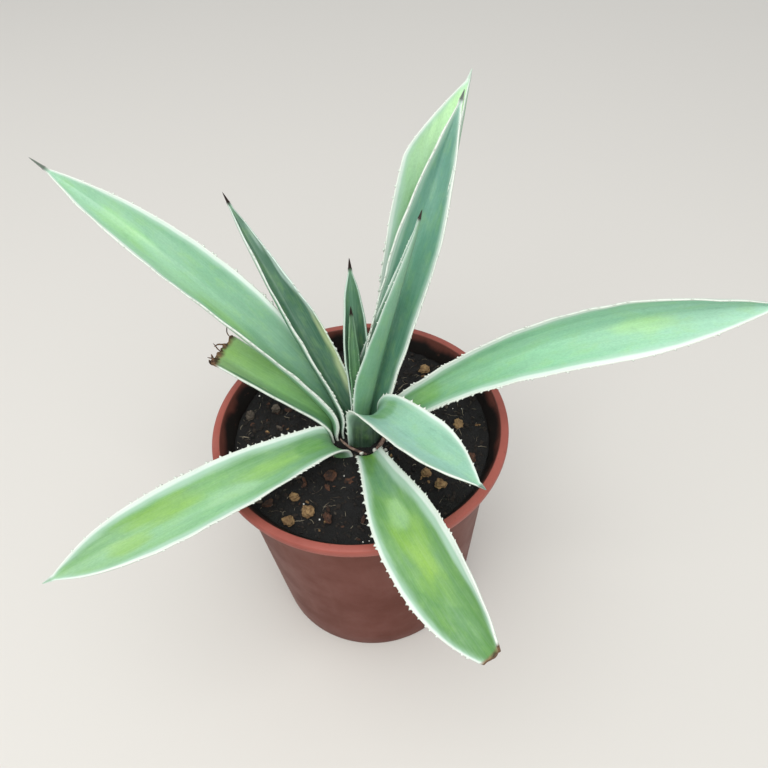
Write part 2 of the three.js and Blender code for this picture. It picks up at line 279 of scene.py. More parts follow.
def make_pot():
    r, h, foot = RIM_RADIUS, POT_HEIGHT, POT_HEIGHT - RIM_DEPTH
    inner = r - RIM_WIDTH
    profile = [
        (0, 1.2 * MM),
        (30 * MM, 1.2 * MM),
        (58 * MM, 1.1 * MM),
        (60 * MM, 0.1 * MM),
        (BASE_RADIUS - 1.6 * MM, 0),
        (BASE_RADIUS - 0.5 * MM, 0.4 * MM),
        (BASE_RADIUS, 1.6 * MM),
    ]
    for k in range(1, 12):
        z = 1.6 * MM + (BODY_TOP - 2.2 * MM) * k / 12
        profile.append((wall_radius(z) + WALL, z))
    profile += [
        (BODY_TOP_RADIUS - 0.2 * MM, BODY_TOP - 0.8 * MM),
        (BODY_TOP_RADIUS + 0.8 * MM, BODY_TOP),
        (r - 1.7 * MM, BODY_TOP + 0.7 * MM),
        (r - 1.0 * MM, BODY_TOP + 1.1 * MM),
        (r - 0.7 * MM, foot + 0.2 * MM),
        (r - 0.7 * MM, foot + 1.6 * MM),
        (r - 0.1 * MM, foot + 2.0 * MM),
        (r, foot + 2.4 * MM),
        (r, h - 1.3 * MM),
        (r - 0.3 * MM, h - 0.5 * MM),
        (r - 1.0 * MM, h),
        (inner + 0.9 * MM, h),
        (inner + 0.3 * MM, h - 0.3 * MM),
        (inner, h - 0.9 * MM),
        (inner - 0.5 * MM, h - 3.0 * MM),
        (wall_radius(WALL_SPLAYS_FROM), WALL_SPLAYS_FROM),
        (wall_radius(FLOOR), FLOOR),
        (0, FLOOR),
    ]

    def wobble(angle, r, z):
        """A thin-walled pot is never quite round."""
        share = z / POT_HEIGHT
        return r * (1 - share * (0.0012 - 0.0012 * math.cos(2 * angle + 0.6))), z

    points, faces = turned(profile, 192, wobble)
    pot = new_piece("nursery_pot", points, faces, "pot_plastic", pot_plastic())
    drill = bpy.data.objects.new("drill", drain_drill())
    bpy.context.scene.collection.objects.link(drill)
    cut = pot.modifiers.new("drain holes", "BOOLEAN")
    cut.operation = "DIFFERENCE"
    cut.object = drill
    bpy.context.view_layer.update()
    shown = pot.evaluated_get(bpy.context.evaluated_depsgraph_get())
    drilled = bpy.data.meshes.new_from_object(shown)
    pot.modifiers.clear()
    pot.data = drilled
    bpy.data.objects.remove(drill)
    pot.data.polygons.foreach_set("use_smooth", [True] * len(pot.data.polygons))
    pot.data.set_sharp_from_angle(angle=math.radians(50))
    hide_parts("pot")


make_pot()


# ---------------------------------------------------------------- compost
# Dark peat and composted bark, pressed down by watering: a lumpy top with crumbs, fine pale roots and
# fibres on it. It fills the pot to about 12 mm under the rim and falls away a little at the wall.
COMPOST_LOW, COMPOST_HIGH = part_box("compost")
COMPOST_LEVEL = 158 * MM
COMPOST_FALL = 1.5 * MM
SHOULDER = 60 * MM
SHOULDER_FALL = 0.6 * MM
MOUND_X, MOUND_Y = 4 * MM, -12 * MM
MOUND_RADIUS = 34 * MM
MOUND_HEIGHT = 5.5 * MM


def compost_level(x, y):
    """Height of the compost's top, lumps included."""
    r = math.hypot(x, y)
    edge = wall_radius(COMPOST_LEVEL - COMPOST_FALL)
    beyond = max(0, r - SHOULDER) / (edge - SHOULDER)
    z = COMPOST_LEVEL - SHOULDER_FALL - (COMPOST_FALL - SHOULDER_FALL) * beyond
    mound = max(0, 1 - math.hypot(x - MOUND_X, y - MOUND_Y) / MOUND_RADIUS)
    z += MOUND_HEIGHT * mound * mound * (3 - 2 * mound)
    z += 2.6 * MM * noise.noise(Vector((x, y, 0)) * 55)
    z += 1.5 * MM * noise.noise(Vector((x, y, 1)) * 150)
    z += 0.9 * MM * abs(noise.noise(Vector((x, y, 2)) * 420))
    return z


def compost_mix():
    f = Finish("compost")
    lumps = f.grain(130, detail=6, rough=0.7)
    crumbs = f.grain(700, detail=5, rough=0.7)
    shreds = f.grain(300, stretch=(1, 0.25, 1), detail=3, rough=0.6, warp=1.5)
    colour = f.blend(f.span(lumps, 0.35, 0.7), paint("0c0b0b"), paint("161312"))
    colour = f.blend(f.span(crumbs, 0.58, 0.76, 0, 0.6), colour, paint("2c2520"))
    colour = f.blend(f.span(shreds, 0.66, 0.76, 0, 0.6), colour, paint("5f564a"))
    rough = f.span(lumps, 0.3, 0.7, 0.75, 0.98)
    height = f.maths("ADD", crumbs, lumps)
    return f.finish(colour, rough, height=height, depth=1.2 * MM, strength=0.9)


COMPOST_MIX = compost_mix()


def make_compost():
    around, rings = 300, 96
    edge = wall_radius(COMPOST_LEVEL - COMPOST_FALL) - 0.3 * MM
    points, faces = [(0, 0, compost_level(0, 0))], []
    for i in range(1, rings + 1):
        r = edge * (i / rings)
        for j in range(around):
            a = 2 * math.pi * j / around
            x, y = r * math.cos(a), r * math.sin(a)
            points.append((x, y, compost_level(x, y)))
    halfway = 80 * MM
    foot_share = 0.84  # it narrows towards the pot's floor, as the pot does
    sides = ((wall_radius(halfway) - 0.3 * MM, halfway), (COMPOST_HIGH.x * foot_share, COMPOST_LOW.z))
    for r, z in sides:
        for j in range(around):
            a = 2 * math.pi * j / around
            points.append((r * math.cos(a), r * math.sin(a), z))
    points.append((0, 0, COMPOST_LOW.z))
    for j in range(around):
        k = (j + 1) % around
        faces.append((0, 1 + j, 1 + k))
        for i in range(rings + 1):
            a, b = 1 + i * around, 1 + (i + 1) * around
            faces.append((a + j, b + j, b + k, a + k))
        last = 1 + (rings + 1) * around
        faces.append((last + k, last + j, len(points) - 1))
    compost = new_piece("potting_compost", points, faces, "compost", COMPOST_MIX)
    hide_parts("compost")


make_compost()


def lump(chance, size, squash=(1, 1, 1), rings=5, sides=7):
    """Points and faces of one small uneven lump about the origin."""
    points = [(0, 0, -size / 2)]
    seed = Vector((chance.uniform(0, 99), chance.uniform(0, 99), 0))
    for i in range(1, rings):
        up = math.pi * i / rings
        for j in range(sides):
            a = 2 * math.pi * j / sides + 0.4 * i
            d = Vector((math.sin(up) * math.cos(a), math.sin(up) * math.sin(a), -math.cos(up)))
            d *= size / 2 * (1 + 0.5 * noise.noise(d * 1.6 + seed))
            points.append(tuple(d))
    points.append((0, 0, size / 2))
    faces = [(0, 1 + (j + 1) % sides, 1 + j) for j in range(sides)]
    for i in range(rings - 2):
        for j in range(sides):
            k = (j + 1) % sides
            a, b = 1 + i * sides, 1 + (i + 1) * sides
            faces.append((a + j, a + k, b + k, b + j))
    last = 1 + (rings - 2) * sides
    faces += [(last + j, last + (j + 1) % sides, len(points) - 1) for j in range(sides)]
    return [(x * squash[0], y * squash[1], z * squash[2]) for x, y, z in points], faces


def add_lump(points, faces, shape, place, turn=None):
    """Adds a lump to a mesh, turned and set down in its place."""
    first = len(points)
    points += [tuple((turn @ Vector(p) if turn else Vector(p)) + place) for p in shape[0]]
    faces += [[first + i for i in face] for face in shape[1]]


def scatter(chance, count, inner=0.0):
    """Random places on the compost's top."""
    edge = wall_radius(COMPOST_LEVEL) - 2.5 * MM
    for _ in range(count):
        r = math.sqrt(chance.uniform(inner**2, edge**2))
        a = chance.uniform(0, 2 * math.pi)
        yield r * math.cos(a), r * math.sin(a)


def make_crumbs():
    """Loose crumbs of peat and bark, as one piece."""
    chance = random.Random(4)
    points, faces = [], []
    for x, y in scatter(chance, 1500):
        size = chance.choice((0.9, 1.2, 1.2, 1.6, 1.6, 2.2, 3.2)) * MM
        squash = (chance.uniform(0.8, 1.6), chance.uniform(0.7, 1.1), chance.uniform(0.5, 0.9))
        shape = lump(chance, size, squash, rings=4, sides=5)
        turn = Matrix.Rotation(chance.uniform(0, 6.3), 3, "Z")
        place = Vector((x, y, compost_level(x, y) + 0.1 * size))
        add_lump(points, faces, shape, place, turn)
    f = Finish("crumbs")
    tone = f.grain(260, detail=2)
    fine = f.grain(1500, detail=3, rough=0.7)
    colour = f.blend(f.span(tone, 0.42, 0.62), paint("0d0c0b"), paint("2b231d"))
    colour = f.blend(f.span(fine, 0.58, 0.8, 0, 0.4), colour, paint("564a3c"))
    rough = f.span(tone, 0.3, 0.7, 0.8, 1.0)
    finish = f.finish(colour, rough, height=fine, depth=0.3 * MM, strength=0.8)
    new_piece("compost_crumbs", points, faces, "compost", finish, smooth=False)


make_crumbs()


def strand(points, faces, path, radius, sides=4):
    """Adds a thin round strand along a path to a mesh."""
    first = len(points)
    for i, p in enumerate(path):
        nearby = path[min(i + 1, len(path) - 1)] - path[max(i - 1, 0)]
        side = nearby.cross(Vector((0, 0, 1)))
        side = side.normalized() if side.length > 1e-9 else Vector((1, 0, 0))
        top = side.cross(nearby).normalized()
        thin = radius * (1 - 0.7 * abs(2 * i / (len(path) - 1) - 1) ** 3)
        for j in range(sides):
            a = 2 * math.pi * j / sides
            points.append(tuple(p + thin * (math.cos(a) * side + math.sin(a) * top)))
    for i in range(len(path) - 1):
        for j in range(sides):
            k = (j + 1) % sides
            a, b = first + i * sides, first + (i + 1) * sides
            faces.append((a + j, a + k, b + k, b + j))
    faces.append([first + j for j in reversed(range(sides))])
    faces.append([first + (len(path) - 1) * sides + j for j in range(sides)])


def make_fibres():
    """Fine pale fibres and dead roots lying on the compost, as one piece."""
    chance = random.Random(11)
    points, faces = [], []
    for x, y in scatter(chance, 420, inner=15 * MM):
        turn = chance.uniform(0, 2 * math.pi)
        bend = chance.uniform(-0.22, 0.22)
        length = chance.choice((2, 3, 3, 4, 5, 7, 11)) * MM
        steps = 9
        lift = chance.uniform(0.1, 0.8) * MM
        path = []
        for i in range(steps):
            z = compost_level(x, y) + 0.25 * MM + lift * math.sin(math.pi * i / (steps - 1))
            path.append(Vector((x, y, z)))
            x += length / steps * math.cos(turn)
            y += length / steps * math.sin(turn)
            turn += bend + chance.uniform(-0.2, 0.2)
            if math.hypot(x, y) > wall_radius(COMPOST_LEVEL) - 1.5 * MM:
                break
        if len(path) > 3:
            strand(points, faces, path, chance.uniform(0.08, 0.2) * MM)
    f = Finish("dead_roots")
    tone = f.grain(160, detail=2)
    fine = f.grain(2000, detail=2)
    colour = f.blend(f.span(tone, 0.38, 0.62), paint("3f362c"), paint("a0947f"))
    rough = f.span(fine, 0.3, 0.7, 0.7, 0.95)
    finish = f.finish(colour, rough, height=fine, depth=0.05 * MM, strength=0.6)
    new_piece("dead_root_fibres", points, faces, "compost", finish)


make_fibres()


# ---------------------------------------------------------------- bark chips and perlite
# Chips of composted pine bark, broken along their layers, and popped white perlite grains. They lie loose,
# half bedded in the compost.
def bark(name, dark, light, edge):
    f = Finish(name)
    layers = f.grain(420, stretch=(0.35, 0.35, 2.2), detail=4, rough=0.6, warp=0.6)
    pores = f.grain(1400, detail=3, rough=0.7)
    patch = f.grain(120, detail=2)
    colour = f.blend(f.span(layers, 0.35, 0.68), paint(dark), paint(light))
    colour = f.blend(f.span(pores, 0.6, 0.78, 0, 0.7), colour, paint(edge))
    colour = f.blend(f.span(patch, 0.5, 0.7, 0, 0.5), colour, paint(dark))
    rough = f.span(pores, 0.3, 0.7, 0.78, 0.98)
    height = f.maths("ADD", layers, pores)
    return f.finish(colour, rough, height=height, depth=0.6 * MM, strength=0.9)


BARKS = {
    "bark_tan": bark("bark_tan", "6b5034", "ab8b60", "3a2a1c"),
    "bark_brown": bark("bark_brown", "2e1f18", "66422f", "1a120e"),
    "bark_grey": bark("bark_grey", "3b332c", "71665a", "221c18"),
}


def make_chip(node, slot, number):
    """A broken chip: flat faces left by splitting, with worn corners, filling the node's box."""
    chance = random.Random(100 + number)
    low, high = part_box(node)
    middle, size = (low + high) / 2, high - low
    cuts = []
    for _ in range(8):
        d = Vector([chance.gauss(0, 1) for _ in range(3)]).normalized()
        cuts.append((d, chance.uniform(0.5, 0.9)))
    points, faces = lump(chance, 2.0, rings=16, sides=24)
    shaped = []
    for p in points:
        d = Vector(p).normalized()
        reach = min([1.05] + [c / max(d.dot(n), 1e-3) for n, c in cuts if d.dot(n) > 0.05])
        box = 0.86 / max(abs(d.x), abs(d.y), abs(d.z))
        reach = min(reach, box)
        reach *= 1 + 0.34 * noise.noise(d * 2.2 + Vector((number, 0, 0)))
        reach *= 1 + 0.16 * noise.noise(d * 7 + Vector((number, 5, 0)))
        shaped.append(d * reach)
    span = [max(abs(p[i]) for p in shaped) for i in range(3)]
    place = [
        (
            middle.x + p.x / span[0] * size.x / 2,
            middle.y + p.y / span[1] * size.y / 2,
            middle.z + p.z / span[2] * size.z / 2 * 1.1 - 0.6 * MM,
        )
        for p in shaped
    ]
    chip = new_piece("chip_of_" + node, place, faces, slot, BARKS[slot])
    chip.data.set_sharp_from_angle(angle=math.radians(32))
    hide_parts(node)


SLOTS = {s["node"]: s["material_slot"] for s in frame["record"]["subparts"]}
CHIP_NODES = sorted(n for n in SLOTS if n.startswith("bark_chip"))
for number, node in enumerate(CHIP_NODES):
    make_chip(node, SLOTS[node], number)


def make_fragments(slot, number, count):
    """The small splinters of one bark, as one piece."""
    chance = random.Random(60 + number)
    points, faces = [], []
    for x, y in scatter(chance, count, inner=18 * MM):
        size = chance.choice((2, 2.5, 3, 4, 5)) * MM
        squash = (chance.uniform(0.8, 1.3), chance.uniform(0.4, 0.8), chance.uniform(0.25, 0.6))
        shape = lump(chance, size, squash)
        turn = Matrix.Rotation(chance.uniform(0, 6.3), 3, "Z")
        turn = turn @ Matrix.Rotation(chance.uniform(-0.5, 0.5), 3, "X")
        place = Vector((x, y, compost_level(x, y) + 0.12 * size))
        add_lump(points, faces, shape, place, turn)
    new_piece("splinters_of_" + slot, points, faces, slot, BARKS[slot], smooth=False)


for number, (slot, count) in enumerate((("bark_tan", 26), ("bark_brown", 60), ("bark_grey", 34))):
    make_fragments(slot, number, count)


def perlite():
    f = Finish("perlite")
    bubbles = f.grain(1800, detail=3, rough=0.6)
    dirt = f.grain(500, detail=3)
    colour = f.blend(f.span(dirt, 0.52, 0.75, 0, 0.6), paint("efece4"), paint("a59a88"))
    rough = f.span(bubbles, 0.3, 0.7, 0.8, 1.0)
    return f.finish(colour, rough, height=bubbles, depth=0.3 * MM, strength=0.9)


PERLITE = perlite()


def make_grain(node, number):
    chance = random.Random(300 + number)
    low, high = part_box(node)
    middle, size = (low + high) / 2, high - low
    points, faces = lump(chance, 1.0, rings=10, sides=14)
    place = [(middle.x + x * size.x, middle.y + y * size.y, middle.z + z * size.z) for x, y, z in points]
    grain = new_piece("grain_of_" + node, place, faces, "perlite", PERLITE)
    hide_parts(node)


for number, node in enumerate(sorted(n for n in SLOTS if n.startswith("perlite"))):
    make_grain(node, number)


def make_dust():
    """The smaller crumbs of perlite, as one piece."""
    chance = random.Random(21)
    points, faces = [], []
    settled = [(x, y, chance.uniform(0.5, 1.3) * MM) for x, y in scatter(chance, 46, inner=15 * MM)]
    # Three bigger ones have rolled against the foot of the front leaf.
    for x, y, size in ((-1, -19.5, 3.0), (7.5, -18.5, 3.1), (14.5, -18, 2.2)):
        settled.append((x * MM, y * MM, size * MM))
    for x, y, size in settled:
        shape = lump(chance, size, rings=4, sides=6)
        place = Vector((x, y, compost_level(x, y) + 0.3 * size))
        add_lump(points, faces, shape, place)
    new_piece("perlite_crumbs", points, faces, "perlite", PERLITE)


make_dust()


# ---------------------------------------------------------------- stem
# The short woody stump in the middle of the rosette, ringed by the scars of shed leaves. It shows only
# where the lowest leaf bases part.
STEM_LOW, STEM_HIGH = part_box("stem")


def make_stem():
    radius = STEM_HIGH.x
    profile = [(0, STEM_LOW.z), (radius * 0.7, STEM_LOW.z)]
    steps = 22
    for i in range(steps):
        z = STEM_LOW.z + 8 * MM + (STEM_HIGH.z - 2 * MM - STEM_LOW.z - 8 * MM) * i / (steps - 1)
        profile.append((radius * (1 - 0.035 * (i % 2)), z))
    profile += [(radius * 0.75, STEM_HIGH.z - 1 * MM), (0, STEM_HIGH.z)]
    points, faces = turned(profile, 40)
    f = Finish("stem_bark")
    scars = f.grain(300, stretch=(0.6, 0.6, 2.5), detail=4, rough=0.6)
    colour = f.blend(f.span(scars, 0.35, 0.7), paint("3a2c24"), paint("7b6450"))
    rough = f.span(scars, 0.3, 0.7, 0.7, 0.95)
    finish = f.finish(colour, rough, height=scars, depth=0.5 * MM, strength=0.8)
    stem = new_piece("crown_stump", points, faces, "stem", finish)
    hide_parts("stem")


make_stem()


# ---------------------------------------------------------------- leaves
# Thick, waxy, channelled leaves that clasp the stem. Each has a green heart, a paler band and a creamy
# margin set with small teeth, and ends in a hard dark spine unless its tip is lost.
def leaf_finish():
    f = Finish("leaf_skin")
    flesh = f.stored("flesh").outputs["Color"]
    margin = f.stored("margin").outputs["Vector"]
    parts = f.node("ShaderNodeSeparateXYZ", {"Vector": margin})
    edge, cream_width, pale_width = parts.outputs
    wear_and_shade = f.node("ShaderNodeSeparateXYZ", {"Vector": f.stored("wear_and_shade").outputs["Vector"]})
    horn, dry, under = wear_and_shade.outputs
    skin = f.node("ShaderNodeUVMap", uv_map="skin").outputs[0]
    # The skin map is in metres: across the blade, then along it.
    border = f.grain(260, stretch=(0.6, 0.1, 1), detail=3, rough=0.55, where=skin)
    blotch = f.grain(150, stretch=(1, 0.45, 1), detail=5, rough=0.62, where=skin, warp=0.4)
    grain = f.grain(1500, stretch=(1, 0.35, 1), detail=4, rough=0.65, where=skin)
    veins = f.grain(1300, stretch=(1, 0.018, 1), detail=3, rough=0.55, where=skin)
    bands = f.grain(330, stretch=(1, 0.04, 1), detail=2, rough=0.5, where=skin)
    bloom = f.grain(70, stretch=(1, 0.35, 1), detail=5, rough=0.6, where=skin)
    freckle = f.grain(1000, stretch=(1, 0.6, 1), detail=2, rough=0.5, where=skin)
    scuff = f.grain(160, stretch=(1, 0.5, 1), detail=5, rough=0.7, where=skin, warp=0.8)
    uneven = f.span(border, 0.2, 0.8, -1.1, 1.1)
    inward = f.maths("ADD", edge, uneven)
    pale = f.maths("DIVIDE", f.maths("SUBTRACT", f.maths("ADD", pale_width, 1.6), inward), 4.2)
    cream_reach = f.maths("ADD", edge, f.maths("MULTIPLY", uneven, 0.35))
    cream = f.maths("DIVIDE", f.maths("SUBTRACT", f.maths("ADD", cream_width, 0.5), cream_reach), 1.7)
    colour = f.blend(f.span(bands, 0.3, 0.7, 0, 0.1), flesh, paint("44704d"))
    colour = f.blend(f.span(blotch, 0.45, 0.7, 0, 0.22), colour, paint("9ac766"))
    colour = f.blend(f.span(blotch, 0.25, 0.5, 0.2, 0), colour, paint("4f8064"))
    colour = f.blend(f.span(veins, 0.4, 0.7, 0, 0.07), colour, paint("cfe8d0"))
    colour = f.blend(f.span(bloom, 0.35, 0.8, 0, 0.24), colour, paint("a9cbb8"))
    colour = f.blend(f.span(grain, 0.35, 0.7, 0, 0.14), colour, paint("3d6647"))
    colour = f.blend(f.span(pale, 0, 1, 0, 0.82), colour, paint("b3d3c0"))
    colour = f.blend(f.span(cream, 0, 1, 0, 1), colour, paint("e0ece3"))
    lip = f.maths("MULTIPLY", f.span(edge, 0.1, 0.6, 1, 0), f.span(cream_width, 0.3, 1.5))
    colour = f.blend(f.maths("MULTIPLY", lip, 0.3), colour, paint("e4dccd"))
    # Painted shade: the under face is blended towards a darker grey-green.
    colour = f.blend(f.span(under, 0, 1, 0, 0.3), colour, paint("5d8368"))
    colour = f.blend(f.span(scuff, 0.7, 0.78, 0, 0.25), colour, paint("8a9a6a"))
    colour = f.blend(f.span(freckle, 0.76, 0.81, 0, 0.5), colour, paint("6d6f45"))
    withered = f.blend(f.span(scuff, 0.35, 0.65), paint("2c1c14"), paint("8d6a48"))
    colour = f.blend(dry, colour, withered)
    colour = f.blend(horn, colour, paint("2a1a15"))
    rough = f.maths("ADD", f.span(bloom, 0.35, 0.75, 0.44, 0.6), f.maths("MULTIPLY", dry, 0.3))
    relief = f.maths("ADD", f.maths("MULTIPLY", veins, 0.5), f.maths("MULTIPLY", bands, 0.5))
    relief = f.maths("ADD", relief, f.maths("MULTIPLY", grain, 0.35))
    return f.finish(colour, rough, height=relief, depth=0.08 * MM, strength=0.45)


LEAF_SKIN = leaf_finish()
MARGIN_THICK = 1.1
TIP_WIDTH = 2.4
LIP = 0.35  # how far the rounded margin stands out past the two faces
BURIED = (7, 3.5)  # how far down in the compost the rings of a leaf's foot stand
ROWS, COLUMNS = 190, 33
SPINE_ROWS = 12
TOOTH_POINTS = 5


class Leaf:
    """One leaf, in millimetres and degrees.

    heading, sway   degrees round from +X, and how far the heading turns by the tip
    lift, droop     degrees above level past the neck, and how far that falls by the tip
    length, width   along the blade, and at its widest
    foot            share of the width at the base
    widest, taper   where along the blade it is widest, and how blunt its outline is beyond
    keel, cup       degrees that a half rises at the keel, and further by its margin
    twist           degrees turned about its own line at the base, and further by the tip
    core, level     radius that the base wraps round, and the height where it starts
    neck, snap      how far up the base stays upright, and how sharply it then bends over
    whole           share of the natural outline that is left: under 1 where the tip is lost
    spine, thick    length of the end spine, and thickness along the keel at the base
    teeth           length of a full tooth near the base
    heart           colours of the green heart at base, middle and tip: right half, then left half; some hold painted shade at the base and painted light at the tip
    cream, pale     widths of the creamy margin and of the paler band: right side, then left side
    creases         [place across, depth, width share] of long folds in the upper face
    patches_light_and_shade  [place along, place across, length, width, colour] of patches in the heart; a few
    are painted shade and one is painted light
    scorched        how dark the spine is, 0 to 1
    shaded          length from the base over which the under face is painted dark as shade
    dried, ragged   length of a withered end, and how far it has shrivelled out of shape
    """

    def __init__(self, node, **facts):
        self.node = node
        self.neck, self.snap, self.whole, self.sway = 9, 3, 1, 0
        self.scorched = 1
        self.twist, self.creases, self.patches_light_and_shade = (0, 0), (), ()
        self.dried = self.shaded = 0
        self.__dict__.update(facts)

    def upright(self, t):
        return 1 / (1 + (t * self.length / self.neck) ** self.snap)

    def aim(self, t):
        rise = np.radians(self.lift - self.droop * t + (84 - self.lift) * self.upright(t))
        turn = np.radians(self.heading + self.sway * t)
        return np.stack([np.cos(rise) * np.cos(turn), np.cos(rise) * np.sin(turn), np.sin(rise)], -1)

    def line(self, t):
        """Places on the leaf's line, with its along, side and face directions."""
        fine = np.linspace(0, 1, 401)
        steps = self.aim((fine[1:] + fine[:-1]) / 2) * self.length / 400
        turn = math.radians(self.heading)
        start = np.array([self.core * math.cos(turn), self.core * math.sin(turn), self.level])
        walked = np.vstack([start, start + np.cumsum(steps, 0)])
        place = np.stack([np.interp(t, fine, walked[:, i]) for i in range(3)], -1)
        along = self.aim(t)
        turned_by = np.radians(self.heading + self.sway * t)
        side = np.stack([-np.sin(turned_by), np.cos(turned_by), 0 * t], -1)
        face = np.cross(along, side)
        twist = np.radians((self.twist[0] + self.twist[1] * t) * (1 - self.upright(t)))[:, None]
        return (
            place,
            along,
            side * np.cos(twist) + face * np.sin(twist),
            face * np.cos(twist) - side * np.sin(twist),
        )

    def half_width(self, t):
        s = t * self.whole
        rising = self.foot + (1 - self.foot) * np.sin(np.pi / 2 * np.minimum(s / self.widest, 1)) ** 2
        fall = np.clip((s - self.widest) / (1 - self.widest), 0, 1)
        share = np.where(s < self.widest, rising, 1 - fall**self.taper)
        return np.maximum(self.width / 2 * share, TIP_WIDTH / 2)

    def surface(self, t, u, depth):
        """Points at share t along and u across, -1 right to 1 left, at a depth under the upper face."""
        place, along, side, face = self.line(t)
        open_ = (1 - self.upright(t))[:, None]
        half = self.half_width(t)[:, None]
        wrap = half / max(self.core, 6)
        keel = math.radians(self.keel) * open_
        cup = np.maximum(math.radians(self.cup) * open_ + wrap * (1 - open_), 0.01)
        v = np.abs(u)[None, :]
        angle = keel + cup * v
        out = half * (np.sin(angle) - np.sin(keel)) / cup * np.sign(u)[None, :]
        up = half * (np.cos(keel) - np.cos(angle)) / cup
        lean = angle * np.sign(u)[None, :]
        out = out + np.sin(lean) * depth
        up = up - np.cos(lean) * depth
        return place[:, None] + side[:, None] * out[..., None] + face[:, None] * up[..., None]


def unit(vectors):
    return vectors / np.maximum(np.linalg.norm(vectors, axis=-1, keepdims=True), 1e-9)


def soft_noise(seed, x, y, size):
    """Smooth random value, -1 to 1, at places in millimetres."""
    flat = [noise.noise(Vector((a / size, b / size, seed))) for a, b in zip(x.ravel(), y.ravel())]
    return np.array(flat).reshape(x.shape)


def blade_sides(leaf, seed, t, u):
    """Points of the upper and of the under face, in rows from base to tip."""
    v = np.abs(u)[None, :]
    along_mm = (t * leaf.length)[:, None] + 0 * u[None, :]
    across_mm = leaf.half_width(t)[:, None] * u[None, :]
    thick = (leaf.thick * (1 - 0.55 * t))[:, None]
    body = MARGIN_THICK + (thick - MARGIN_THICK) * (1 - v**1.5)
    body = body * np.clip(0.45 + (1 - t)[:, None] * 6, 0, 1) if leaf.spine else body
    # The upper face is never quite even: it has long soft waves, and folds left by its neighbours in the bud.
    uneven = 0.5 * soft_noise(seed, across_mm, along_mm / 3, 9)
    for at, depth, wide in leaf.creases:
        fold = np.exp(-(((u[None, :] - at) / wide) ** 2))
        uneven = uneven + depth * fold * np.clip(t * 6, 0, 1)[:, None]
    half_of_blade = np.sign(u)[None, :] * 40 + 0 * along_mm
    wave = 0.7 * soft_noise(seed + 50, half_of_blade, along_mm, 14) * v**3
    free_end = np.clip((1 - t) * 8 + (0 if leaf.spine else 1), 0, 1)[:, None]
    settle = np.clip(t * 5, 0, 1)[:, None] * free_end
    top = leaf.surface(t, u, (uneven + wave) * settle)
    under = leaf.surface(t, u, body + wave * settle)
    if leaf.dried:
        # Past the tear the leaf has shrivelled.
        torn = np.clip((t * leaf.length - (leaf.length - leaf.dried)) / leaf.dried, 0, 1)[:, None]
        _, along, _, face = leaf.line(t)
        ragged = soft_noise(seed + 9, across_mm, along_mm, 2.6)
        ragged = ragged + 0.6 * soft_noise(seed + 4, across_mm, along_mm, 6)
        push = (torn**1.5 * ragged * leaf.ragged)[..., None]
        curl = soft_noise(seed + 7, across_mm, along_mm, 4)
        lift = (torn**1.2 * curl * leaf.ragged * 0.6)[..., None]
        top = top + along[:, None] * push + face[:, None] * lift
        under = under + along[:, None] * push + face[:, None] * lift
    return top, under


def blade_rings(top, under):
    """Rings round the blade, with a rounded margin between the faces and a foot down in the compost."""
    left = (top[:, -1] + under[:, -1]) / 2 + LIP * unit(top[:, -1] - top[:, -3])
    right = (top[:, 0] + under[:, 0]) / 2 + LIP * unit(top[:, 0] - top[:, 2])
    rings = np.concatenate([top, left[:, None], under[:, ::-1], right[:, None]], 1)
    buried = [rings[0] - [0, 0, deep] for deep in BURIED]
    return np.concatenate([buried, rings], 0)


def end_spine(leaf, last_ring, along):
    """Rings of the end spine, which narrow to a point."""
    middle = last_ring.mean(0)
    rings = []
    for i in range(1, SPINE_ROWS + 1):
        s = i / SPINE_ROWS
        shrink = (1 - s) ** 0.75 * 0.8 + 0.06
        rings.append((last_ring - middle) * shrink + middle + along * leaf.spine * s)
    return np.array(rings)


def tube_faces(rows, count):
    """Quads between rings, and flat ends that join the upper face to the under face."""
    faces = []
    for i in range(rows - 1):
        for j in range(count):
            k = (j + 1) % count
            faces.append((i * count + j, (i + 1) * count + j, (i + 1) * count + k, i * count + k))
    last = (rows - 1) * count
    for j in range(COLUMNS - 1):
        faces.append((j, j + 1, count - 3 - j, count - 2 - j))
        faces.append((last + j + 1, last + j, last + count - 2 - j, last + count - 3 - j))
    faces.append((0, count - 2, count - 1))
    faces.append((COLUMNS - 1, COLUMNS, COLUMNS + 1))
    faces.append((last, last + count - 1, last + count - 2))
    faces.append((last + COLUMNS - 1, last + COLUMNS + 1, last + COLUMNS))
    return faces


def heart_colour(leaf, t, u):
    """The heart's colour runs from base to tip and from the right half to the left half, including the
    painted shade at some bases and the painted light at some tips.
    """
    stops = np.array([[paint(c) for c in half_of] for half_of in leaf.heart])
    middles = [0, 0.5, 1]
    right_run = np.stack([np.interp(t, middles, stops[0][:, i]) for i in range(3)], -1)
    left_run = np.stack([np.interp(t, middles, stops[1][:, i]) for i in range(3)], -1)
    to_left = np.clip(0.5 + u * 2.5, 0, 1)[None, :, None]
    return right_run[:, None] * (1 - to_left) + left_run[:, None] * to_left


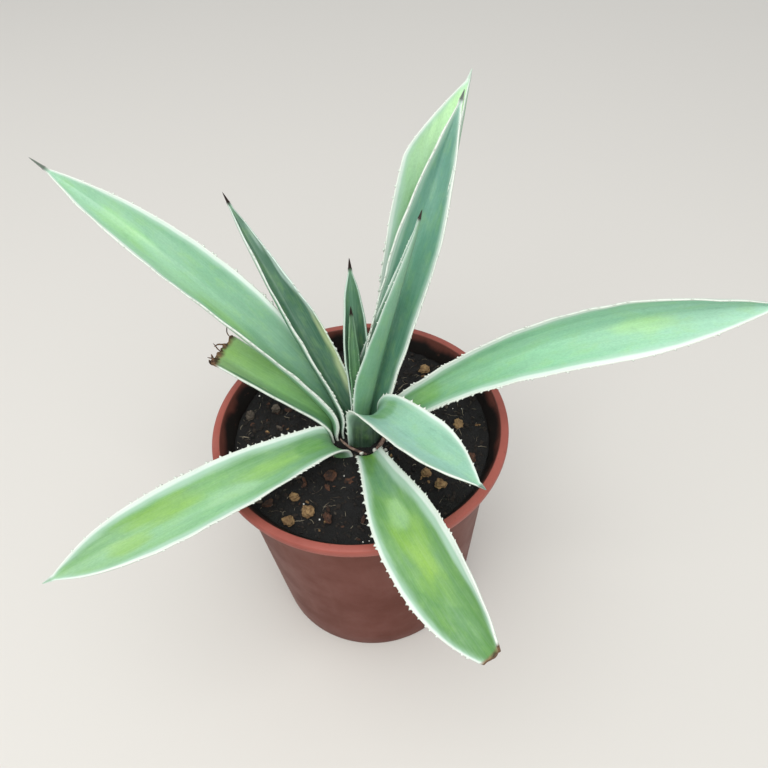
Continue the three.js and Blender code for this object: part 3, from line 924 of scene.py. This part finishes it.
def skin_values(leaf, seed, t, u, under, horn):
    """What the finish needs at each point of the rings: flesh colour, margin widths, wear with painted shade
    on the under face, and skin map.
    """
    half = leaf.half_width(t)[:, None]
    u_mm = half * u[None, :]
    t_mm = (t * leaf.length)[:, None] + 0 * u_mm
    edge = half * (1 - np.abs(u))[None, :]
    fade = 0.75 + 0.25 * np.clip(t * 4, 0, 1)
    fade = (fade * np.clip((1 - t) * 2.2 + 0.35, 0, 1))[:, None]
    on_left = (u > 0)[None, :]
    cream = np.where(on_left, leaf.cream[1], leaf.cream[0]) * fade
    pale = np.where(on_left, leaf.pale[1], leaf.pale[0]) * fade
    flesh = heart_colour(leaf, t, u)
    ragged_edge = soft_noise(seed + 20, u_mm, t_mm / 5, 4)
    for at_t, at_u, long_mm, wide_mm, colour in leaf.patches_light_and_shade:
        off = ((t_mm - at_t * leaf.length) / long_mm) ** 2 + ((u_mm - at_u * half) / wide_mm) ** 2
        share = np.clip(1.15 * (1 - off) + 0.7 * ragged_edge, 0, 1)[..., None]
        share = share * share * (3 - 2 * share)
        flesh = flesh * (1 - share) + np.array(paint(colour)) * share
    # Painted shade: near the base, the under face is painted dark green, as if in the shade of the crown.
    if leaf.shaded:
        share = (np.clip(2 - 2 * t_mm / leaf.shaded, 0, 1) * (under > 0.5)[None, :])[..., None]
        flesh = flesh * (1 - share) + np.array(paint("1f3326")) * share
    dry = 0 * edge
    if leaf.dried:
        dry = np.clip((t_mm - (leaf.length - leaf.dried)) / leaf.dried * 1.3 + 0.6 * ragged_edge, 0, 1)
        dry = dry * (t_mm > leaf.length - 1.6 * leaf.dried)
    # The under face, away from the base, is marked for painted shade.
    back = under[None, :] * np.clip(t * 3 - 0.4, 0, 1)[:, None]
    return {
        "flesh": flesh.reshape(-1, 3),
        "margin": np.stack([edge, cream + 0 * edge, pale + 0 * edge], -1).reshape(-1, 3),
        "wear_and_shade": np.stack([horn[:, None] + 0 * edge, dry, back], -1).reshape(-1, 3),
        "skin": np.stack([u_mm + 100 * under[None, :], t_mm], -1).reshape(-1, 2) * MM,
    }


def grow_teeth(leaf, seed, top, under, t):
    """Small hooked teeth along both margins, closer together towards the base: points, faces, skin map."""
    chance = random.Random(seed)
    points, faces, skin = [], [], []
    for column, inner, sign in ((-1, -3, 1), (0, 2, -1)):
        margin = (top[:, column] + under[:, column]) / 2
        out = unit(top[:, column] - top[:, inner])
        along = unit(np.gradient(margin, axis=0))
        depth = unit(top[:, column] - under[:, column])
        walked = t * leaf.length
        at = 9 + chance.uniform(0, 4)
        end = leaf.length - (leaf.spine + 6 if leaf.spine else leaf.dried + 2)
        while at < end:
            share = at / leaf.length
            size = leaf.teeth * chance.uniform(0.35, 1.2) * (1.1 - 0.45 * share)
            m, o, a, d = (
                np.array([np.interp(at, walked, rows[:, i]) for i in range(3)])
                for rows in (margin, out, along, depth)
            )
            root = 1.1 * size + 0.2
            first = len(points)
            points += [
                m - a * root - o * 0.3,
                m + d * 0.45 - o * 0.1,
                m + a * root - o * 0.3,
                m - d * 0.45 - o * 0.1,
                m + o * (size + 0.3) + a * size * chance.uniform(0.1, 0.6),
            ]
            order = [(0, 1, 4), (1, 2, 4), (2, 3, 4), (3, 0, 4), (3, 2, 1, 0)]
            faces += [[first + k for k in (f if sign > 0 else f[::-1])] for f in order]
            skin += [(sign * 0.02, at * MM)] * TOOTH_POINTS
            at += chance.choice((2.2, 3.5, 4.5, 6.0, 7.5)) * (0.85 + 0.5 * share)
    return points, faces, skin


def tooth_values(skin):
    """What the finish needs on the teeth: creamy skin, and a slightly dried tip."""
    teeth = len(skin) // TOOTH_POINTS
    return {
        "flesh": np.tile(paint("e3eede"), (len(skin), 1)),
        "margin": np.tile([0, 3, 4], (len(skin), 1)),
        "wear_and_shade": np.tile([[0, 0, 0]] * 4 + [[0, 0.06, 0]], (teeth, 1)),
        "skin": np.array(skin),
    }


def make_leaf(leaf, seed):
    t = np.linspace(0, 1, ROWS) ** 1.15
    x = np.linspace(-1, 1, COLUMNS)
    u = np.sin(np.pi / 2 * x) * 0.75 + x * 0.25
    top, under = blade_sides(leaf, seed, t, u)
    rings = blade_rings(top, under)
    t_ring = np.concatenate([[0] * len(BURIED), t])
    u_ring = np.concatenate([u, [1], u[::-1], [-1]])
    under_ring = np.concatenate([0 * u, [0.2], 0 * u + 1, [0.2]])
    horn = np.zeros(len(t_ring))
    if leaf.spine:
        tip_along = leaf.aim(np.array([1.0]))[0]
        rings = np.concatenate([rings, end_spine(leaf, rings[-1], tip_along)], 0)
        creep = np.clip((t_ring - 1) * leaf.length / (0.4 * leaf.spine) + 1, 0, 1)
        t_ring = np.concatenate([t_ring, np.ones(SPINE_ROWS)])
        horn = np.concatenate([creep, np.ones(SPINE_ROWS)]) * leaf.scorched
    blade = rings.reshape(-1, 3)
    tooth_points, tooth_faces, tooth_skin = grow_teeth(leaf, seed, top, under, t)
    points = np.concatenate([blade, tooth_points]) * MM
    faces = tube_faces(*rings.shape[:2]) + [[len(blade) + k for k in f] for f in tooth_faces]
    piece = new_piece("blade_of_" + leaf.node, points, faces, "leaf", LEAF_SKIN)
    on_blade = skin_values(leaf, seed, t_ring, u_ring, under_ring, horn)
    on_teeth = tooth_values(tooth_skin)
    values = {key: np.vstack([on_blade[key], on_teeth[key]]) for key in on_blade}
    mesh = piece.data
    colours = mesh.attributes.new("flesh", "FLOAT_COLOR", "POINT")
    rgba = np.concatenate([values["flesh"], np.ones((len(points), 1))], 1)
    colours.data.foreach_set("color", rgba.astype(np.float32).ravel())
    for name in ("margin", "wear_and_shade"):
        stored = mesh.attributes.new(name, "FLOAT_VECTOR", "POINT")
        stored.data.foreach_set("vector", values[name].astype(np.float32).ravel())
    corners = np.zeros(len(mesh.loops), np.int32)
    mesh.loops.foreach_get("vertex_index", corners)
    skin = mesh.uv_layers.new(name="skin")
    skin.data.foreach_set("uv", values["skin"][corners].astype(np.float32).ravel())
    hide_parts(leaf.node)


# The inner leaves' hearts are darkest green at the base: painted shade down in the crown.
LEAVES = [
    Leaf(
        "leaf_center_bud", heading=84, lift=78, droop=4, length=83, width=10,
        foot=0.6, widest=0.5, taper=1.9, keel=26, cup=60, core=3, level=163, neck=6,
        spine=5, thick=2.2, teeth=0.4, cream=(-0.7, -0.7), pale=(-2.0, -1.4),
        heart=(("3f6a4a", "4a7a50", "47694c"), ("4f7a5a", "6a9a6c", "5a7f56")),
    ),
    Leaf(
        "leaf_center_spear", heading=83, sway=1, lift=74, droop=5, length=106, width=20.5,
        foot=0.6, widest=0.54, taper=2, keel=19, cup=58, twist=(8, 3), core=7, level=164,
        spine=6, thick=2.6, teeth=0.7, cream=(0.1, 0.5), pale=(0.4, 1.2),
        heart=(("2f5540", "2f5a41", "4a7859"), ("35614a", "3b6a4f", "6f9a80")),
    ),
    Leaf(
        "leaf_folded_young", heading=30, sway=1.5, lift=72, droop=4.5, length=147, width=27.5,
        foot=0.7, widest=0.29, taper=1.1, keel=35, cup=56, twist=(-40.5, 12.5), core=4, level=164,
        spine=5, thick=2.4, teeth=0.8, cream=(0.7, 0.7), pale=(0.9, 0.9),
        heart=(("6a9f78", "74a884", "86b398"), ("2f5a44", "3b6b50", "5c8a70")),
    ),
    Leaf(
        "leaf_tall_inner", heading=42, lift=66, droop=6, length=208, width=37.5,
        foot=0.77, widest=0.6, taper=1.5, keel=22, cup=49.5, twist=(32, 8.5), core=8, level=162,
        spine=5, thick=3.2, teeth=1.7, cream=(2.6, 3.0), pale=(4.6, 7.0),
        heart=(("3f7157", "619a80", "66968a"), ("467c5d", "74a992", "66968a")),
        creases=((0.05, 0.5, 0.12),), scorched=0.7,
    ),
    Leaf(
        "leaf_upper_left", heading=127, sway=-6, lift=50, droop=8, length=162, width=34,
        foot=0.72, widest=0.42, taper=1.35, keel=30, cup=57, twist=(4, -10), core=11, level=160,
        spine=7, thick=3.6, teeth=2.1, cream=(0.5, 1.3), pale=(-2.0, 2.6),
        heart=(("39644c", "456f59", "62836f"), ("335a43", "467059", "5c7c69")),
        patches_light_and_shade=((0.26, -1, 46, 7.5, "d3e2ac"), (0.68, -1, 44, 5, "cde4da")),
    ),
    Leaf(
        "leaf_tall_outer", heading=46, sway=2, lift=58.5, droop=-1, length=219, width=49.5,
        foot=0.42, widest=0.77, taper=1.3, keel=26, cup=35, twist=(29, -47.5), core=12, level=159.5,
        spine=5, thick=4, teeth=1.7, cream=(2.4, 2.6), pale=(4.0, 5.0),
        # Painted light: the pale tip colours of the heart, and the pale patch near the tip, show the upper
        # blade as brightly lit.
        heart=(("2f5a45", "6c9f84", "bfe8c0"), ("3b6a4e", "86ba8c", "c9f0bb")),
        patches_light_and_shade=((0.6, 0.35, 30, 7, "7fb76c"), (0.88, 0.2, 26, 12, "cdf5bf")), scorched=0.15,
    ),
    Leaf(
        "leaf_short_right", heading=-67, sway=9, lift=18, droop=4, length=147, width=34,
        foot=0.8, widest=0.65, taper=1.8, keel=11, cup=28, twist=(-4, 0), core=11,
        level=158.6, neck=42, snap=5, spine=4, thick=4, teeth=1.6, cream=(2.2, 1.8), pale=(4.2, 3.4),
        heart=(("38604a", "9ccbb9", "98c8b6"), ("3a6249", "93c5a9", "8dbfa7")),
        patches_light_and_shade=(
            (0.37, 0.1, 9, 12, "6a9f6c"), (0.7, 0.1, 14, 5, "8cc0a0"),
            # The last two patches are painted shade over the foot, browner where it meets the compost.
            (0.0, 0.0, 34, 60, "16251c"), (-0.02, 0.3, 9, 60, "2b1d17"),
        ),
        shaded=60, scorched=0.6,
    ),
    Leaf(
        "leaf_far_left", heading=145, sway=2, lift=43, droop=16, length=247, width=46,
        foot=0.55, widest=0.42, taper=2.2, keel=24, cup=34, twist=(22, -50), core=15, level=158.6,
        spine=11, thick=4.4, teeth=1.7, cream=(2.6, 3.0), pale=(4.4, 4.2),
        heart=(("54896b", "7bb08b", "a3cfae"), ("6fa57c", "a9d8ae", "a9d6b8")),
        creases=((0.0, -0.6, 0.05), (-0.12, 0.5, 0.05)),
        patches_light_and_shade=((0.42, 0.4, 26, 7, "a3d48e"), (0.75, 0.1, 30, 9, "a5d6a2")), scorched=0.75,
    ),
    Leaf(
        "leaf_long_right", heading=-1, sway=-20, lift=42.5, droop=30.5, length=248, width=42.5,
        foot=0.48, widest=0.68, taper=1.9, keel=20, cup=37, twist=(31, 58), core=18, level=158.6,
        spine=8, thick=4.4, teeth=1.7, cream=(2.8, 3.0), pale=(4.6, 4.4),
        heart=(("5d9460", "93cda4", "a5d6bc"), ("639a5a", "92cca6", "a0d2ba")),
        creases=((0.45, 0.6, 0.05),),
        patches_light_and_shade=((0.16, 0.1, 18, 7, "76ad60"), (0.72, -0.1, 22, 7, "a8dba0")),
    ),
    Leaf(
        "leaf_cut_left", heading=162, sway=-4, lift=32, droop=0, length=92, width=38,
        foot=0.55, widest=0.66, taper=3, keel=12, cup=25, twist=(4, 11), core=18, level=158.6,
        whole=0.6, spine=0, thick=4.6, teeth=1.6, cream=(0.5, 2.0), pale=(1.0, 2.8),
        heart=(("4f8348", "84b46e", "93bb6c"), ("4f8348", "76a66c", "9fc286")),
        creases=((0.5, 0.7, 0.05), (0.62, -0.6, 0.06)), dried=4, ragged=4,
        patches_light_and_shade=((0.62, 0.45, 2.6, 1.6, "c9c3a0"), (0.5, 0.72, 60, 2.6, "5b8468")),
    ),
    Leaf(
        "leaf_lower_left", heading=215, sway=-6, lift=15, droop=12, length=188, width=37.5,
        foot=0.68, widest=0.48, taper=3.2, keel=13, cup=28, twist=(-4, -26), core=20, level=158.6,
        spine=4, thick=4.6, teeth=1.7, cream=(2.6, 1.8), pale=(5.6, 4.4),
        heart=(("4f8050", "83b676", "80b078"), ("5a8f58", "93c894", "96c091")),
        patches_light_and_shade=(
            (0.3, -0.05, 30, 7, "8abb5e"), (0.66, -0.3, 30, 8, "8ab95a"), (0.78, 0.2, 16, 6, "97c374"),
            (0.45, 0.2, 22, 6, "a3d0a0"), (0.13, -0.2, 14, 7, "639a4c"),
        ),
        creases=((-0.5, 0.4, 0.06),), scorched=0.2,
    ),
    Leaf(
        "leaf_front", heading=-81, sway=14, lift=19, droop=13.5, length=173.5, width=42,
        foot=0.37, widest=0.58, taper=2.7, keel=12, cup=24, twist=(8, 38), core=22.5, level=158.6,
        whole=0.95, spine=0, thick=4.6, teeth=1.6, cream=(2.0, 3.4), pale=(4.2, 7.4),
        heart=(("558a3a", "6d9f5a", "578b42"), ("558a3a", "6fa15c", "5c9146")),
        patches_light_and_shade=(
            (0.25, 0.0, 22, 9, "5f9263"), (0.55, -0.1, 46, 12, "80af4a"), (0.62, -0.1, 20, 7, "8fba4f"),
            (0.05, 0.0, 12, 7, "6fa53c"), (0.42, -0.1, 16, 8, "97c47c"),
        ),
        dried=1.8, ragged=1.6,
    ),
]
for number, leaf in enumerate(LEAVES):
    make_leaf(leaf, number * 7 + 3)


def dead_tissue(name, dark, light):
    f = Finish(name)
    tone = f.grain(500, stretch=(1, 1, 0.6), detail=4, rough=0.6)
    colour = f.blend(f.span(tone, 0.35, 0.65), paint(dark), paint(light))
    rough = f.span(tone, 0.3, 0.7, 0.7, 0.95)
    return f.finish(colour, rough, height=tone, depth=0.3 * MM, strength=0.7)


def make_shreds():
    """Shrivelled threads and curls of skin hanging on where the left leaf was torn, as one piece."""
    chance = random.Random(8)
    torn = next(leaf for leaf in LEAVES if leaf.node == "leaf_cut_left")
    points, faces = [], []
    for u in (-0.9, -0.6, -0.3, 0.05, 0.35, 0.6, 0.85, 0.95):
        start = torn.surface(np.array([0.975]), np.array([u]), np.array([[0.8]]))[0, 0] * MM
        place, along, side, face = (v[0] for v in torn.line(np.array([1.0])))
        heading = Vector(along) + Vector(side) * chance.uniform(-0.7, 0.7)
        curl = Vector(face) * chance.uniform(-0.5, 0.6) + Vector(side) * chance.uniform(-0.5, 0.5)
        here, path = Vector(start), []
        steps = chance.randint(6, 11)
        for i in range(steps):
            path.append(here.copy())
            here += heading.normalized() * 1.15 * MM
            heading += curl * 0.35 + Vector([chance.uniform(-0.3, 0.3) for _ in range(3)])
        strand(points, faces, path, chance.uniform(0.35, 0.8) * MM, sides=6)
    new_piece("shreds_of_leaf_cut_left", points, faces, "leaf", dead_tissue("dried_skin", "1f140e", "6b4a30"))


make_shreds()


def make_clasps():
    """The brown, papery edges of two leaf bases that clasp the crown, as one piece."""
    points, faces = [], []
    edges = (
        ([(15.5, -7.5, 169), (14.2, -12.0, 166), (10.5, -15.6, 163), (6.5, -18.2, 159.5)], 1.5),
        ([(-13.5, -9.0, 167), (-8.5, -15.0, 165.5), (-1.5, -18.8, 163.5), (4.5, -20.0, 160)], 0.9),
    )
    for corners, radius in edges:
        corners = [Vector(c) * MM for c in corners]
        path = []
        for i in range(3):
            before, after = corners[max(i - 1, 0)], corners[min(i + 2, 3)]
            for k in range(8):
                s = k / 8
                a, b = corners[i], corners[i + 1]
                path.append(
                    a * (2 * s**3 - 3 * s**2 + 1)
                    + b * (3 * s**2 - 2 * s**3)
                    + (b - before) / 2 * (s**3 - 2 * s**2 + s)
                    + (after - a) / 2 * (s**3 - s**2)
                )
        path.append(corners[3])
        strand(points, faces, path, radius * MM, sides=8)
    new_piece("clasping_leaf_bases", points, faces, "leaf", dead_tissue("papery_base", "4d3b34", "94796c"))


make_clasps()


# ---------------------------------------------------------------- floor and light
# A plain pale floor, one broad soft light overhead like an open sky, and a weaker one from the back left.
# The world around is a bright, slightly cool daylight grey.
def make_floor():
    mesh = bpy.data.meshes.new("floor")
    s = 6
    mesh.from_pydata([(-s, -s, 0), (s, -s, 0), (s, s, 0), (-s, s, 0)], [], [(0, 1, 2, 3)])
    floor = bpy.data.objects.new("floor", mesh)
    bpy.context.scene.collection.objects.link(floor)
    f = Finish("floor")
    f.finish(paint("d9d5cf"), 0.9)
    mesh.materials.append(f.material)


make_floor()


def add_light(name, place, aim, size, power, colour):
    lamp = bpy.data.lights.new(name, "AREA")
    lamp.shape = "DISK"
    lamp.size = size
    lamp.energy = power
    lamp.color = colour
    light = bpy.data.objects.new(name, lamp)
    light.location = place
    light.rotation_euler = (Vector(aim) - Vector(place)).to_track_quat("-Z", "Y").to_euler()
    bpy.context.scene.collection.objects.link(light)


add_light("overhead", (-0.15, -0.75, 1.5), (0, 0, 0.15), 1.6, 19, (1.0, 1.0, 0.985))
add_light("side_fill", (-1.2, 0.7, 0.9), (0, 0, 0.15), 1.0, 2, (1.0, 0.98, 0.95))
sky = bpy.data.worlds.new("sky")
sky.use_nodes = True
sky.node_tree.nodes["Background"].inputs["Color"].default_value = (0.96, 0.985, 1.0, 1)
sky.node_tree.nodes["Background"].inputs["Strength"].default_value = 0.72
bpy.context.scene.world = sky
bpy.context.scene.view_settings.view_transform = "Standard"
